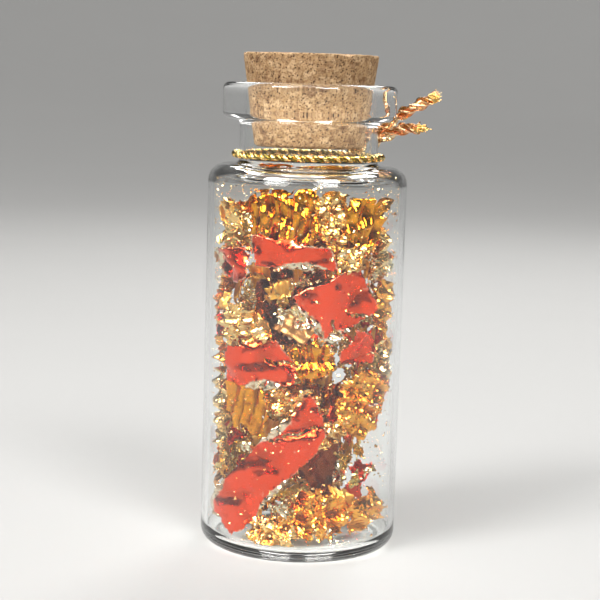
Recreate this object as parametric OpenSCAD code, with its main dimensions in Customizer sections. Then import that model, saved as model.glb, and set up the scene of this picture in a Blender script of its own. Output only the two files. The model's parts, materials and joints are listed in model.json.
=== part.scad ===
// Gold sample vial: a cork-stoppered glass tube vial, filled with torn gold leaf, a metallic cord
// tied round its neck. Millimetres. The origin is the middle of the base on the plane that the
// vial stands on, +Z is up and -Y is the front.

/* [Glass] */
// Outer diameter of the body
body_d = 30; // [29:0.5:32]
// Height from the standing plane to the top of the rim
glass_h = 70; // [68:0.5:74]
// Thickness of the body wall
wall = 0.9; // [0.7:0.1:1.1]
// Thickness of the base round its edge
base_t = 1.6; // [1.4:0.1:2]
// Height of the dimple under the middle of the base
punt = 0.6; // [0.3:0.1:0.8]
// Outside radius where the wall turns into the base
heel_r = 2.2; // [1.6:0.1:2.6]
// Height of the top of the shoulder
shoulder_z = 57.9; // [57.5:0.1:58]
// Outside radius where the wall turns into the shoulder
shoulder_r = 2.6; // [2:0.1:3]
// Outer diameter of the neck
neck_d = 20.84; // [20.6:0.02:21]
// Outer diameter of the rim
rim_d = 26.1; // [25:0.1:27]
// Height of the rim band
rim_h = 5.4; // [5:0.1:5.6]

/* [Cork] */
// Diameter of the cork's top face
cork_top_d = 20.5; // [20.2:0.1:20.6]
// Diameter of the cork's bottom face
cork_bottom_d = 16.4; // [16:0.1:16.6]
// Length of the cork
cork_h = 13.8; // [13:0.1:14.2]
// How far the cork stands out of the rim
cork_proud = 4.4; // [4:0.1:5]

/* [Cord] */
// Diameter of the twisted cord
cord_d = 1.1; // [0.8:0.1:1.2]
// Height of the middle of the loop
loop_z = 59.3; // [59.3:0.1:60]

/* [Gold leaf] */
// Thickness of a piece of leaf, drawn thicker than real leaf
leaf_t = 0.15; // [0.1:0.05:0.15]
// Number of loose specks stuck to the inside of the glass
speck_count = 54; // [20:2:60]

/* [Hidden] */

body_r = body_d / 2;
inner_r = body_r - wall;
neck_r = neck_d / 2;
rim_r = rim_d / 2;
rim_z = glass_h - rim_h;
contact_r = body_r - heel_r;       // outer edge of the ring that the vial stands on
ring_w = 0.8;                      // width of that ring
punt_r = contact_r - ring_w;
punt_sphere_r = (punt_r * punt_r + punt * punt) / (2 * punt);
inner_heel_r = 1.6;
inner_shoulder_r = 2;
shoulder_t = 1;
inner_shoulder_z = shoulder_z - shoulder_t;
neck_fillet = 0.8;
rim_round = 0.9;
rim_under_round = 1.2;
lip_round = 0.8;
throat_round = 0.8;
seat_gap = 0.05;                   // clearance all round where the cork sits in the mouth
join = 1;                          // how far an outline's parts reach into each other
corner_join = 0.2;                 // how far a corner's fill reaches into the solid behind it
punt_facets = 720;

cork_bottom_z = glass_h + cork_proud - cork_h;
cork_top_round = 0.5;
cork_bottom_round = 0.3;
function cork_r_at(z) =
    (cork_bottom_d + (cork_top_d - cork_bottom_d) * (z - cork_bottom_z) / cork_h) / 2;
mouth_r = cork_r_at(glass_h - lip_round) + seat_gap;

loop_gap = 0.03;                   // clearance between the loop and the neck
loop_r = neck_r + loop_gap + cord_d / 2;
knot_bearing = 46;                 // degrees from +X towards +Y
knot_r = 1.15;
knot_length = 3.4;
knot_gap = 0.15;                   // clearance between the knot and the neck
knot_reach = neck_r + knot_gap + knot_r;
knot_z = loop_z + 0.5;
cord_sides = 8;
upper_route = [
    [7.9, 8.8, 60.2], [9.4, 8.9, 62], [11.4, 9, 63.6], [13.6, 8.7, 65.2],
    [15.8, 8.2, 66.6], [18, 7.7, 67.8], [19.8, 7.3, 68.7]
];
lower_route = [
    [8.8, 7.5, 59.8], [9.9, 7.6, 61.2], [11.9, 7.3, 62.5], [13.8, 6.8, 63.3],
    [15.6, 6.2, 63.7], [17, 5.7, 63.7]
];

tear_points = 11;
deep = 12;                         // thicker than any fold is high
least_bite = 0.8;                  // how near a tear comes to the middle, as a share
squareness = 0.6;                  // below 1, a torn piece is squarer than an oval
speck_size = 0.7;
speck_shape = 0.7;                 // a speck's height as a share of its width
speck_t = 0.1;
speck_gap = 0.03;                  // clearance between a speck and the glass
speck_reach = inner_r - speck_gap - speck_t;
golden_turn = 137.5;
speck_spin = 40;
speck_low = 3;
speck_high = 55;

amber = "darkgoldenrod";
gold = "goldenrod";
pale_gold = "khaki";
bronze = "saddlebrown";

$fn = 96;

// ---- glass ----

// Half outline, right of the axis, of a round block with its lower and upper edges rounded
module rounded_half(r, z0, z1, low_r, high_r) {
    translate([0, z0]) square([r - low_r, z1 - z0]);
    translate([0, z0 + low_r]) square([r, z1 - z0 - low_r - high_r]);
    translate([0, z0 + low_r]) square([r - high_r, z1 - z0 - low_r]);
    translate([r - low_r, z0 + low_r]) circle(low_r);
    translate([r - high_r, z1 - high_r]) circle(high_r);
}

// Fill of the hollow corner at x, z; up and out are 1 or -1 and point into the open side
module hollow_corner(x, z, r, out, up) {
    difference() {
        translate([out > 0 ? x - corner_join : x - r, up > 0 ? z - corner_join : z - r])
            square(r + corner_join);
        translate([x + out * r, z + up * r]) circle(r);
    }
}

module glass_outside() {
    rounded_half(body_r, 0, shoulder_z, heel_r, shoulder_r);
    translate([0, shoulder_z - join]) square([neck_r, rim_z - shoulder_z + 2 * join]);
    rounded_half(rim_r, rim_z, glass_h, rim_under_round, rim_round);
    hollow_corner(neck_r, shoulder_z, neck_fillet, 1, 1);
    hollow_corner(neck_r, rim_z, neck_fillet, 1, -1);
}

module glass_inside() {
    rounded_half(inner_r, base_t, inner_shoulder_z, inner_heel_r, inner_shoulder_r);
    translate([0, inner_shoulder_z - join])
        square([mouth_r, glass_h - inner_shoulder_z + 2 * join]);
    hollow_corner(mouth_r, inner_shoulder_z, throat_round, 1, 1);
    hollow_corner(mouth_r, glass_h, lip_round, 1, -1);
}

module punt_outline() {
    intersection() {
        translate([0, punt - punt_sphere_r]) circle(punt_sphere_r, $fn = punt_facets);
        translate([0, -join]) square([body_r, join + punt]);
    }
}

module vial_glass() {
    color("azure", 0.35)
        rotate_extrude() difference() {
            glass_outside();
            glass_inside();
            punt_outline();
        }
}

// ---- cork ----

module cork_stopper() {
    side_slope = (cork_top_d - cork_bottom_d) / 2 / cork_h;
    color("burlywood")
        translate([0, 0, cork_bottom_z]) rotate_extrude() polygon([
            [0, 0],
            [cork_bottom_d / 2 - cork_bottom_round, 0],
            [cork_bottom_d / 2 + side_slope * cork_bottom_round, cork_bottom_round],
            [cork_top_d / 2 - side_slope * cork_top_round, cork_h - cork_top_round],
            [cork_top_d / 2 - cork_top_round, cork_h],
            [0, cork_h]
        ]);
}

// ---- neck cord ----

function unit(v) = v / norm(v);
function heading(p, i) = unit(p[min(i + 1, len(p) - 1)] - p[max(i - 1, 0)]);
function cord_ring(p, i) =
    let (d = heading(p, i), side = unit(cross(d, [0, 0, 1])), up = cross(side, d))
    [for (k = [0 : cord_sides - 1])
        let (a = k * 360 / cord_sides) p[i] + cord_d / 2 * (cos(a) * side + sin(a) * up)];

// A round tube along a route
module cord_tube(route) {
    rings = len(route);
    points = [for (i = [0 : rings - 1]) each cord_ring(route, i)];
    sides = [for (i = [0 : rings - 2], k = [0 : cord_sides - 1])
        let (a = i * cord_sides + k, b = i * cord_sides + (k + 1) % cord_sides)
        [a, b, b + cord_sides, a + cord_sides]];
    first = [for (k = [cord_sides - 1 : -1 : 0]) k];
    last = [for (k = [0 : cord_sides - 1]) (rings - 1) * cord_sides + k];
    polyhedron(points, concat([first, last], sides));
}

module cord_loop() {
    color("gold") translate([0, 0, loop_z]) rotate_extrude() translate([loop_r, 0]) circle(cord_d / 2);
}

module cord_knot() {
    half = knot_length / 2 - knot_r;
    color("gold")
        rotate([0, 0, knot_bearing]) translate([knot_reach, 0, knot_z]) rotate([90, 0, 0]) {
            cylinder(h = 2 * half, r = knot_r, center = true);
            for (s = [-1, 1]) translate([0, 0, s * half]) sphere(knot_r);
        }
}

module cord_tail_upper() { color("gold") cord_tube(upper_route); }

module cord_tail_lower() { color("gold") cord_tube(lower_route); }

// ---- gold leaf ----

function boxed(c) = sign(c) * pow(abs(c), squareness);

// Outline with a torn edge; tear picks which
function torn_outline(long, wide, tear) =
    let (bite = rands(least_bite, 1, tear_points, tear))
    [for (i = [0 : tear_points - 1]) let (a = i * 360 / tear_points)
        bite[i] / 2 * [long * boxed(cos(a)), wide * boxed(sin(a))]];

// Section of a sheet of leaf: folds facets, going rise in and out, and bowed out by bow
function fold_line(long, folds, rise, bow) =
    [for (i = [0 : folds]) let (u = 2 * i / folds - 1)
        [long / 2 * u, (i % 2 - 0.5) * rise - bow * (1 - u * u)]];

function thickened(line) =
    concat(line, [for (i = [len(line) - 1 : -1 : 0]) line[i] + [0, leaf_t]]);

// A torn piece of leaf that stands upright and faces -Y, its folds running up and down
module leaf(long, wide, folds, rise, tear, bow = 0) {
    intersection() {
        linear_extrude(wide, center = true) polygon(thickened(fold_line(long, folds, rise, bow)));
        rotate([90, 0, 0]) linear_extrude(deep, center = true)
            polygon(torn_outline(long, wide, tear));
    }
}

// A strip of leaf rolled up part of a turn about an upright axis
module curled_leaf(radius, sweep, wide) {
    steps = 9;
    function arc(r) = [for (i = [0 : steps]) let (a = sweep * i / steps) r * [cos(a), sin(a)]];
    outer = arc(radius);
    inner = arc(radius - leaf_t);
    linear_extrude(wide, center = true)
        polygon(concat(outer, [for (i = [steps : -1 : 0]) inner[i]]));
}

// Puts a piece of leaf in the vial: spun in its own plane, leant back, turned and moved
module leaf_at(place, turn, lean, spin) {
    translate(place) rotate([lean, 0, turn]) rotate([0, spin, 0]) children();
}

module leaf_crumple_top_left() {
    color(pale_gold) leaf_at([-10.8, -5.6, 48.8], -62, 6, 10) leaf(7.3, 7.1, 5, 1.2, 1);
}

module leaf_fan_top() {
    color(amber) leaf_at([-3.2, -10.6, 50.7], -20, -6, -8) leaf(11, 8, 9, 0.9, 2);
}

module leaf_bright_top() {
    color(pale_gold) leaf_at([3.3, -11.2, 50.2], 16, 4, 82) leaf(9.1, 5.2, 6, 0.9, 3);
}

module leaf_ruffle_top_right() {
    color(amber) leaf_at([8.4, -8.3, 50], 44, 0, 12) leaf(7.8, 7.1, 7, 1, 4);
}

module leaf_curl_top_right() {
    color(gold) leaf_at([11.6, -2.6, 51.4], 78, 20, 60) curled_leaf(1.5, 200, 3.4);
}

module leaf_crumple_right() {
    color(pale_gold) leaf_at([11.6, -4, 45.7], 71, 0, 84) leaf(6.8, 6.2, 6, 1, 6);
}

module leaf_strip_upper() {
    color(gold) leaf_at([-1.7, -11.4, 45.5], -8, 10, 5) leaf(13.6, 4.5, 6, 0, 7, 0.9);
}

module leaf_facet_bright() {
    color(pale_gold) leaf_at([6.9, -10.8, 44.9], 32, -12, -18) leaf(5.2, 3.9, 2, 0.3, 8);
}

module leaf_sheet_upper_left() {
    color(amber) leaf_at([-10.6, -6.4, 43.6], -59, 8, -6) leaf(10.3, 5.5, 6, 0, 9, 0.7);
}

module leaf_hook() {
    color(gold) leaf_at([-7, -8, 39.8], -40, 70, 40) curled_leaf(2.4, 230, 3);
}

module leaf_pleats_dark() {
    color(bronze) leaf_at([-0.8, -5.4, 38.6], 4, -8, -38) leaf(13, 11.9, 8, 1.6, 11);
}

module leaf_crumple_left() {
    color(pale_gold) leaf_at([-8.8, -8.9, 34.4], -44, 4, 14) leaf(10.5, 6.4, 8, 1.1, 12);
}

module leaf_sheet_right() {
    color(gold) leaf_at([4.8, -10.4, 38.4], 28, 4, -22) leaf(11.2, 9.8, 6, 0, 13, 0.8);
}

module leaf_crumple_mid_right() {
    color(gold) leaf_at([11.7, -4, 37.6], 71, 3, 30) leaf(8.7, 8.2, 7, 1.1, 14);
}

module leaf_sheet_mid_left() {
    color(gold) leaf_at([-6.4, -10.4, 29], -31, 6, -7) leaf(11.6, 7, 6, 0, 15, 0.9);
}

module leaf_fold_amber() {
    color(amber) leaf_at([1.4, -11.4, 30.2], 6, -10, -30) leaf(6.6, 6.2, 2, 0.9, 16);
}

module leaf_crumple_right_low() {
    color(pale_gold) leaf_at([12.1, -4.2, 29.4], 71, 0, 86) leaf(7.3, 5, 5, 0.9, 17);
}

module leaf_fan_right() {
    color(gold) leaf_at([9, -8.4, 23.4], 43, 5, 24) leaf(10.3, 9.6, 8, 0.9, 18);
}

module leaf_sheet_amber_left() {
    color(amber) leaf_at([-8, -9.2, 22.2], -41, 6, 12) leaf(9.1, 7.8, 4, 0.5, 19);
}

module leaf_pleats_centre() {
    color(pale_gold) leaf_at([-1.2, -12.2, 23.9], -7, 8, -4) leaf(8, 4.1, 9, 0.6, 20);
}

module leaf_flake_centre() {
    color(pale_gold) leaf_at([3.9, -12.2, 19.2], 16, 0, -24) leaf(5.9, 4.1, 4, 0.5, 21);
}

module leaf_strip_long() {
    color(gold) leaf_at([-4.2, -10.1, 13.8], -23, 3, -49) leaf(21.8, 6.8, 8, 0, 22, 1.1);
}

module leaf_sheet_dark() {
    color(bronze) leaf_at([2.9, -7.4, 14.2], 10, 3, 84) leaf(15.1, 7.3, 6, 0, 23, -0.8);
}

module leaf_crumple_low() {
    color(gold) leaf_at([3.4, -11, 6.6], 17, 4, 10) leaf(8.7, 8, 7, 1.1, 24);
}

module leaf_flake_low_right() {
    color(gold) leaf_at([9.9, -7.2, 6.4], 54, 6, -16) leaf(8, 7.1, 4, 1.3, 25);
}

module leaf_crumple_floor() {
    color(pale_gold) leaf_at([-3.6, -11.6, 4.2], -17, -6, 8) leaf(7.3, 5, 7, 0.8, 26);
}

module leaf_crumple_low_left() {
    color(pale_gold) leaf_at([-12, -3.9, 20.4], -72, 0, 88) leaf(13, 6, 10, 0.9, 27);
}

module leaf_core_top() {
    color(amber) leaf_at([2.4, -3.4, 47], -16, 16, 8) leaf(14, 9.1, 7, 1.4, 28);
}

module leaf_core_middle() {
    color(amber) leaf_at([-2.4, 0.4, 31], 26, -10, 24) leaf(14, 11.9, 6, 1.5, 29);
}

module leaf_core_low() {
    color(amber) leaf_at([1.8, -0.8, 20], -30, 8, -18) leaf(15.1, 10.2, 6, 1.5, 30);
}

module leaf_core_floor() {
    color(amber) leaf_at([-1, 1.4, 7.8], 12, 64, 20) leaf(15.1, 10.8, 6, 1.2, 31);
}

module leaf_back_top_left() {
    color(gold) leaf_at([-7, 8.2, 48.8], -140, 3, 20) leaf(11.9, 8.7, 7, 1, 32);
}

module leaf_back_top_right() {
    color(pale_gold) leaf_at([6, 9.8, 49.2], 148, 5, -12) leaf(10.7, 7.8, 8, 0.9, 33);
}

module leaf_back_upper() {
    color(gold) leaf_at([0.4, 11, 40.4], 178, -4, -34) leaf(13.6, 8.2, 6, 0, 34, 1.1);
}

module leaf_back_mid_left() {
    color(pale_gold) leaf_at([-8.4, 8.4, 33], -135, 4, 30) leaf(11.6, 8.9, 8, 1, 35);
}

module leaf_back_mid_right() {
    color(amber) leaf_at([8, 8.8, 32.4], 138, 0, -50) leaf(13.8, 8.2, 6, 0, 36, 0.9);
}

module leaf_back_lower() {
    color(bronze) leaf_at([-0.4, 11.2, 23.4], 180, 8, 62) leaf(13, 7.6, 7, 0.7, 37);
}

module leaf_back_low_left() {
    color(gold) leaf_at([-7.6, 8.8, 12.2], -139, 4, -44) leaf(15.1, 8, 6, 0, 38, 1);
}

module leaf_back_low_right() {
    color(pale_gold) leaf_at([2.6, 11, 10.6], 168, 4, 30) leaf(11.9, 9.6, 8, 1, 39);
}

module leaf_side_right() {
    color(amber) leaf_at([11.8, 2.8, 24.2], 103, 0, 64) leaf(13, 7.1, 6, 0, 40, 0.8);
}

module leaf_side_left() {
    color(gold) leaf_at([-12.1, 1.4, 39.2], -97, 0, 62) leaf(13.6, 7.6, 7, 0.7, 41);
}

module leaf_crumple_left_upper() {
    color(pale_gold) leaf_at([-12, 2.4, 49.4], -101, 0, 84) leaf(6.6, 6, 6, 1, 42);
}

module leaf_crumple_left_mid() {
    color(gold) leaf_at([-12.1, -3.4, 30.4], -74, 4, 70) leaf(7.4, 6, 6, 1, 43);
}

module leaf_ruffle_low_left() {
    color(amber) leaf_at([-12.3, -1.6, 10.6], -82, 0, 76) leaf(8, 6, 6, 0.9, 44);
}

module leaf_sheet_right_mid() {
    color(gold) leaf_at([8.2, -8.7, 31.6], 48, 6, 8) leaf(7, 5.6, 6, 0, 45, 0.6);
}

module leaf_back_side_right() {
    color(gold) leaf_at([11.4, 5, 43], 114, 0, 66) leaf(10, 7, 7, 0.9, 46);
}

module leaf_back_side_left() {
    color(pale_gold) leaf_at([-11.4, 4.6, 22.4], -113, 0, 60) leaf(10.4, 7, 8, 0.9, 47);
}

module leaf_back_floor() {
    color(amber) leaf_at([-4.4, 10, 4.4], -156, 24, 6) leaf(9, 5.4, 6, 1, 48);
}

module leaf_back_centre() {
    color(pale_gold) leaf_at([0, 7.6, 31.6], 172, -6, 20) leaf(9, 7.6, 7, 1, 49);
}

module gold_specks() {
    rise = (speck_high - speck_low) / (speck_count - 1);
    color(pale_gold)
        for (i = [0 : speck_count - 1])
            rotate([0, 0, golden_turn * i])
                translate([0, -speck_reach, speck_low + rise * i]) rotate([0, speck_spin * i, 0])
                    cube([speck_size, speck_t, speck_size * speck_shape], center = true);
}

vial_glass();
cork_stopper();
cord_loop();
cord_knot();
cord_tail_upper();
cord_tail_lower();
leaf_crumple_top_left();
leaf_fan_top();
leaf_bright_top();
leaf_ruffle_top_right();
leaf_curl_top_right();
leaf_crumple_right();
leaf_strip_upper();
leaf_facet_bright();
leaf_sheet_upper_left();
leaf_hook();
leaf_pleats_dark();
leaf_crumple_left();
leaf_sheet_right();
leaf_crumple_mid_right();
leaf_sheet_mid_left();
leaf_fold_amber();
leaf_crumple_right_low();
leaf_fan_right();
leaf_sheet_amber_left();
leaf_pleats_centre();
leaf_flake_centre();
leaf_strip_long();
leaf_sheet_dark();
leaf_crumple_low();
leaf_flake_low_right();
leaf_crumple_floor();
leaf_crumple_low_left();
leaf_core_top();
leaf_core_middle();
leaf_core_low();
leaf_core_floor();
leaf_back_top_left();
leaf_back_top_right();
leaf_back_upper();
leaf_back_mid_left();
leaf_back_mid_right();
leaf_back_lower();
leaf_back_low_left();
leaf_back_low_right();
leaf_side_right();
leaf_side_left();
leaf_crumple_left_upper();
leaf_crumple_left_mid();
leaf_ruffle_low_left();
leaf_sheet_right_mid();
leaf_back_side_right();
leaf_back_side_left();
leaf_back_floor();
leaf_back_centre();
gold_specks();
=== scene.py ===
"""Gold sample vial: a cork-stoppered glass tube vial filled with torn gold leaf, a metallic cord tied
round its neck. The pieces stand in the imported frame: metres, +Z up, -Y the front."""

import json
import math

import bmesh
import bpy
import numpy as np
from bpy.props import FloatProperty, FloatVectorProperty, IntProperty, PointerProperty
from mathutils import Matrix, Vector, noise
from mathutils.bvhtree import BVHTree


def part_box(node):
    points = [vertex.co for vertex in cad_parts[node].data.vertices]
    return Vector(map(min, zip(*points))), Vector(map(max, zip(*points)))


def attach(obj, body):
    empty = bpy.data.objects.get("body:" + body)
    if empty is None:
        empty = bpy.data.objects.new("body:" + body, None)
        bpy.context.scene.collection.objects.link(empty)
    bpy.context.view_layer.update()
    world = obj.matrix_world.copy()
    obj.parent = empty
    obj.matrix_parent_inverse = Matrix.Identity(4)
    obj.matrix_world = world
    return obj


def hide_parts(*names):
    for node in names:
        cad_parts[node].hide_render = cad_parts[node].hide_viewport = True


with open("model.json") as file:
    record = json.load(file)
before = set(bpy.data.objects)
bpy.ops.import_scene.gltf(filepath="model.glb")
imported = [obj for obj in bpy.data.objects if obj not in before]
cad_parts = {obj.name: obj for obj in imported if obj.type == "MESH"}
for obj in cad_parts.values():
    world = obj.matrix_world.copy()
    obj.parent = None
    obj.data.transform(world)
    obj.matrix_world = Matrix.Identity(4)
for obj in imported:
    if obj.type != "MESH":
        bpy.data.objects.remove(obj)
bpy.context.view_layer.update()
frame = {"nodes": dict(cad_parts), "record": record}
noise.seed_set(3)                  # vector noise is otherwise new on every run

bl_info = {
    "name": "Gold Sample Vial",
    "version": (1, 0, 0),
    "blender": (4, 5, 0),
    "location": "View3D > Sidebar > Gold Vial",
    "description": "Glass vial of gold leaf with a cork and a metallic neck cord",
    "category": "Add Mesh",
}

MM = 0.001
GLASS_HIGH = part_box("vial_glass")[1]
CORK_LOW, CORK_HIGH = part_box("cork_stopper")
LOOP_LOW, LOOP_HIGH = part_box("cord_loop")
KNOT_LOW, KNOT_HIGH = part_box("cord_knot")


# ---- what a user can change ----


def length(name, description, default, **more):
    """A length property in metres."""
    return FloatProperty(
        name=name, description=description, default=default, unit="LENGTH",
        subtype="DISTANCE", precision=5, **more,
    )


def colour(name, description, default):
    """A colour property."""
    return FloatVectorProperty(
        name=name, description=description, default=default, subtype="COLOR",
        size=3, min=0, max=1,
    )


class GlassSizes(bpy.types.PropertyGroup):
    """Sizes and tint of the glass."""

    body_diameter: length("Body diameter", "Outer diameter of the body", 2 * GLASS_HIGH.x)
    height: length("Height", "From the standing plane to the top of the rim", GLASS_HIGH.z)
    wall: length("Wall", "Thickness of the body wall", 0.9 * MM)
    base: length("Base", "Thickness of the base round its edge", 1.6 * MM)
    punt: length("Punt", "Height of the dimple under the base", 0.6 * MM)
    heel: length("Heel", "Outside radius where the wall meets the base", 2.2 * MM)
    shoulder_height: length("Shoulder height", "Height of the shoulder's top", 57.9 * MM)
    neck_diameter: length("Neck diameter", "Outer diameter of the neck", 20.84 * MM)
    rim_diameter: length("Rim diameter", "Outer diameter of the rim", 26.1 * MM)
    rim_height: length("Rim height", "Height of the rim band", 5.4 * MM)
    mouth_diameter: length("Mouth diameter", "Inner diameter of the neck", 19.06 * MM)
    wobble: length("Wobble", "How far the inside wanders from a true round", 0.035 * MM)
    tint: colour("Tint", "Colour of the glass", (0.985, 0.995, 0.99))


class CorkLook(bpy.types.PropertyGroup):
    """Grain and colours of the cork."""

    granule: length("Granule", "Size of a cork granule", 0.85 * MM)
    pit_depth: length("Pit depth", "How deep the pits between granules are", 0.32 * MM)
    chip: length("Chip", "How far the top edge is worn back", 0.4 * MM)
    pale: colour("Pale granules", "Colour of the palest granules", (0.64, 0.43, 0.235))
    tan: colour("Tan granules", "Colour of most granules", (0.45, 0.27, 0.125))
    brown: colour("Brown granules", "Colour of the darkest granules", (0.20, 0.095, 0.04))
    # the bark colour is also the painted shade in the pits and grooves
    bark: colour("Bark", "Colour of the bark specks and the pits", (0.055, 0.022, 0.01))


class CordSizes(bpy.types.PropertyGroup):
    """Make-up and colours of the neck cord."""

    diameter: length("Diameter", "Diameter of the twisted cord", LOOP_HIGH.z - LOOP_LOW.z)
    strands: IntProperty(name="Strands", description="Strands twisted together", default=2)
    lay: length("Lay", "Length in which a strand goes once round", 1.9 * MM)
    rib: length("Rib", "Spacing of the metallic wrap's ribs", 0.34 * MM)
    gold: colour("Gold", "Main colour of the metallic wrap", (0.95, 0.56, 0.13))
    # painted reflection: a coppery red that stands in for red reflected in the wrap and on its tails
    copper_reflection: colour("Copper", "Reddish colour of the wrap", (0.78, 0.17, 0.035))
    green: colour("Green", "Greenish colour of the wrap", (0.12, 0.105, 0.014))


class LeafLook(bpy.types.PropertyGroup):
    """Make-up and colours of the gold leaf."""

    thickness: length("Thickness", "Thickness of a sheet of leaf", 0.03 * MM)
    grid: length("Grid", "Spacing of the points that a sheet is built on", 0.23 * MM)
    flakes: IntProperty(name="Flakes", description="Loose flakes in the vial", default=1350)
    fillers: IntProperty(name="Small sheets", description="Small sheets between the big", default=280)
    pale: colour("Pale", "Colour of the bright crumpled leaf", (1.0, 0.71, 0.29))
    gold: colour("Gold", "Colour of the gold leaf", (1.0, 0.47, 0.075))
    amber: colour("Amber", "Colour of the amber leaf", (0.94, 0.39, 0.02))
    bronze: colour("Bronze", "Colour of the dark leaf", (0.36, 0.085, 0.015))
    # painted reflection: a red put on the smooth gold sheets where they would reflect a red surrounding
    sheet: colour("Sheet", "Colour of the smooth sheets", (1.0, 0.085, 0.02))


class StageLook(bpy.types.PropertyGroup):
    """Floor, light and camera."""

    floor: colour("Floor", "Colour of the floor", (0.47, 0.466, 0.455))
    key_power: FloatProperty(name="Key power", description="Power of the left light", default=2.7)
    fill_power: FloatProperty(name="Fill power", description="Power of the right light", default=2.0)
    back_power: FloatProperty(name="Back power", description="Power of the light behind", default=1.5)
    overhead: FloatProperty(name="Overhead", description="Strength of the light above", default=1.5)
    lens: FloatProperty(
        name="Lens", description="Focal length on a 36 mm sensor", default=93.6,
        unit="CAMERA",
    )


# ---- helpers ----


def new_object(name, points, faces, material, smooth=True):
    """Makes a mesh object and puts it in the scene."""
    mesh = bpy.data.meshes.new(name)
    mesh.from_pydata([tuple(p) for p in points], [], [tuple(f) for f in faces])
    mesh.materials.append(material)
    mesh.polygons.foreach_set("use_smooth", [smooth] * len(mesh.polygons))
    mesh.update()
    made = bpy.data.objects.new(name, mesh)
    bpy.context.scene.collection.objects.link(made)
    return made


def add_attribute(made, name, values):
    """Stores one number for each point of a mesh."""
    layer = made.data.attributes.new(name, "FLOAT", "POINT")
    layer.data.foreach_set("value", np.asarray(values, np.float32))


def arc(centre_r, centre_z, radius, start, end, steps):
    """Points of an arc of an outline, angles in degrees."""
    turns = np.radians(np.linspace(start, end, steps + 1))
    return [(centre_r + radius * math.cos(t), centre_z + radius * math.sin(t)) for t in turns]


def with_steps(outline, longest):
    """The outline with its long straight runs cut up."""
    fine = [outline[0]]
    for (r0, z0), (r1, z1) in zip(outline, outline[1:]):
        count = max(1, math.ceil(math.hypot(r1 - r0, z1 - z0) / longest))
        for k in range(1, count + 1):
            t = k / count
            fine.append((r0 + (r1 - r0) * t, z0 + (z1 - z0) * t))
    return fine


def lathe(outline, steps):
    """Points and faces of an outline turned round Z. The outline starts and ends on the axis."""
    rings = outline[1:-1]
    turns = np.arange(steps) * 2 * math.pi / steps
    points = [(r * math.cos(t), r * math.sin(t), z) for r, z in rings for t in turns]
    first, last = len(points), len(points) + 1
    points += [(0, 0, outline[0][1]), (0, 0, outline[-1][1])]
    faces = []
    for k in range(steps):
        n = (k + 1) % steps
        faces.append((first, n, k))
        for i in range(len(rings) - 1):
            a, b = i * steps, (i + 1) * steps
            faces.append((a + k, a + n, b + n, b + k))
        end = (len(rings) - 1) * steps
        faces.append((last, end + k, end + n))
    return np.array(points), faces


def ridge(x):
    """A triangle wave from -1 to 1."""
    return 4 * np.abs(x - np.floor(x + 0.5)) - 1


def set_stops(ramp, stops):
    """Gives a colour ramp its (place, colour) stops."""
    elements = ramp.color_ramp.elements
    while len(elements) < len(stops):
        elements.new(0.5)
    for element, (place, shade) in zip(elements, stops):
        element.position = place
        element.color = (*shade, 1)


class Finish:
    """A node material in the making."""

    mix_inputs = (0, 6, 7)         # a mix node's factor and its two colours
    mix_output = 2

    def __init__(self, name):
        self.material = bpy.data.materials.new(name)
        self.material.use_nodes = True
        self.tree = self.material.node_tree
        self.shader = self.tree.nodes["Principled BSDF"]
        self.place = self.node("ShaderNodeTexCoord").outputs["Object"]

    def node(self, kind, **values):
        """Adds a node and sets the values of its inputs."""
        made = self.tree.nodes.new(kind)
        for name, value in values.items():
            made.inputs[name].default_value = value
        return made

    def link(self, start, end):
        """Links one socket to another."""
        self.tree.links.new(start, end)

    def feed(self, socket, value):
        """Links a value to one of the shader's sockets."""
        self.link(value, self.shader.inputs[socket])

    def set(self, **values):
        """Sets the shader's own sockets."""
        for name, value in values.items():
            self.shader.inputs[name.replace("_", " ")].default_value = value

    def ramp(self, factor, *stops):
        """A colour ramp over (place, colour) stops."""
        made = self.node("ShaderNodeValToRGB")
        set_stops(made, stops)
        self.link(factor, made.inputs["Fac"])
        return made.outputs["Color"]

    def mix(self, factor, low, high):
        """Mixes two colours, each a socket or a value."""
        made = self.node("ShaderNodeMix")
        made.data_type = "RGBA"
        for socket, value in zip(self.mix_inputs, (factor, low, high)):
            if isinstance(value, bpy.types.NodeSocket):
                self.link(value, made.inputs[socket])
            else:
                made.inputs[socket].default_value = (*value, 1)
        return made.outputs[self.mix_output]

    def between(self, value, low, high, out_low, out_high):
        """Maps a value from one range to another."""
        made = self.node("ShaderNodeMapRange")
        self.link(value, made.inputs[0])
        for k, number in enumerate((low, high, out_low, out_high)):
            made.inputs[k + 1].default_value = number
        return made.outputs[0]

    def grain(self, size, detail=3.0, roughness=0.5):
        """Noise with spots of this size in metres."""
        made = self.node("ShaderNodeTexNoise", Scale=1 / size, Detail=detail, Roughness=roughness)
        self.link(self.place, made.inputs["Vector"])
        return made.outputs["Fac"]

    def cells(self, size):
        """Distance from the middle of cells of this size in metres."""
        made = self.node("ShaderNodeTexVoronoi", Scale=1 / size)
        self.link(self.place, made.inputs["Vector"])
        return made.outputs["Distance"]

    def stored(self, name):
        """A number stored on the mesh."""
        made = self.node("ShaderNodeAttribute")
        made.attribute_name = name
        return made.outputs["Fac"]

    def bump(self, height, strength, distance):
        """Bumps the surface by a height."""
        made = self.node("ShaderNodeBump", Strength=strength, Distance=distance)
        self.link(height, made.inputs["Height"])
        self.feed("Normal", made.outputs["Normal"])


# ---- camera ----


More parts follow.
